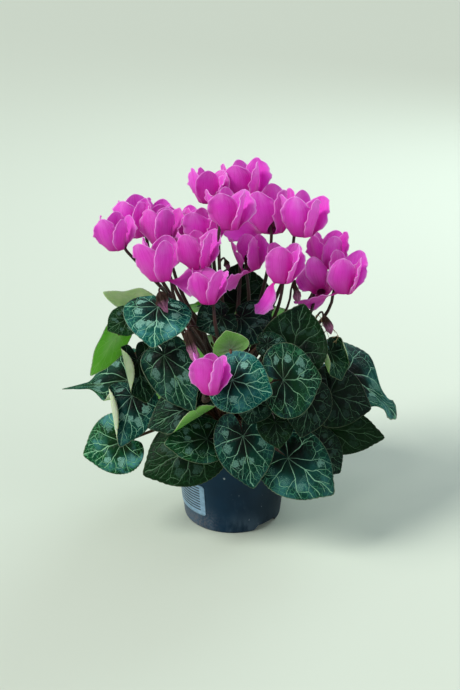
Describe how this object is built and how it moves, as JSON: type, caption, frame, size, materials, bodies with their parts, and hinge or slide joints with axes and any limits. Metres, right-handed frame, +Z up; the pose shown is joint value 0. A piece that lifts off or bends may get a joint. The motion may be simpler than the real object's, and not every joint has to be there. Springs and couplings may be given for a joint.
{
  "type": "potted cyclamen",
  "caption": "Potted cyclamen: tapered pot with a plain label, a dome of marbled heart-shaped leaves and nodding magenta blooms with swept-back petals above them.",
  "frame": {"origin": "middle of the pot's underside, on the ground", "axes": "+Z up; -Y is the pictured front of the plant; +X is the plant's right seen from the front"},
  "size_m": [0.3188, 0.2524, 0.343],
  "materials": {
    "pot": "grey-blue moulded plastic",
    "label": "pale satin paper with dark bars",
    "soil": "dark peat, loose and matt",
    "tuber": "corky brown skin",
    "leaf_stalk": "fleshy, red-brown",
    "flower_stalk": "fleshy, dark purple-brown",
    "leaf": "satin dark green with pale marbling",
    "petal": "soft magenta petal"
  },
  "bodies": {
    "root": {"pot": "pot", "label": "label", "soil": "soil", "tuber": "tuber", "leaf_stalks": "leaf_stalk", "flower_stalks": "flower_stalk", "leaf_low_middle": "leaf", "leaf_low_right": "leaf", "leaf_low_far_right": "leaf", "leaf_right_of_middle": "leaf", "leaf_centre_right": "leaf", "leaf_under_centre": "leaf", "leaf_small_middle": "leaf", "leaf_centre": "leaf", "leaf_tall_left": "leaf", "leaf_curled_left": "leaf", "leaf_edge_left": "leaf", "leaf_pointed_left": "leaf", "leaf_low_left": "leaf", "leaf_far_low_left": "leaf", "leaf_shield_left": "leaf", "leaf_nosed_left": "leaf", "leaf_green_back_left": "leaf", "leaf_pale_back_left": "leaf", "leaf_small_left": "leaf", "leaf_upper_left": "leaf", "leaf_dark_right": "leaf", "leaf_lower_right": "leaf", "leaf_long_right": "leaf", "leaf_small_right": "leaf", "leaf_upper_right": "leaf", "leaf_small_centre": "leaf", "leaf_olive_back": "leaf", "leaf_upper_middle": "leaf", "leaf_dark_back": "leaf", "leaf_upper_inner": "leaf", "leaves_back_upper": "leaf", "leaves_back_middle": "leaf", "leaves_back_lower": "leaf", "bloom_01": "petal", "bloom_02": "petal", "bloom_03": "petal", "bloom_04": "petal", "bloom_05": "petal", "bloom_06": "petal", "bloom_07": "petal", "bloom_08": "petal", "bloom_09": "petal", "bloom_10": "petal", "bloom_11": "petal", "bloom_12": "petal", "bloom_13": "petal", "bloom_14": "petal", "bloom_15": "petal", "bloom_16": "petal", "bloom_17": "petal", "bloom_18": "petal", "bloom_19": "petal", "bloom_20": "petal"}
  },
  "joints": []
}
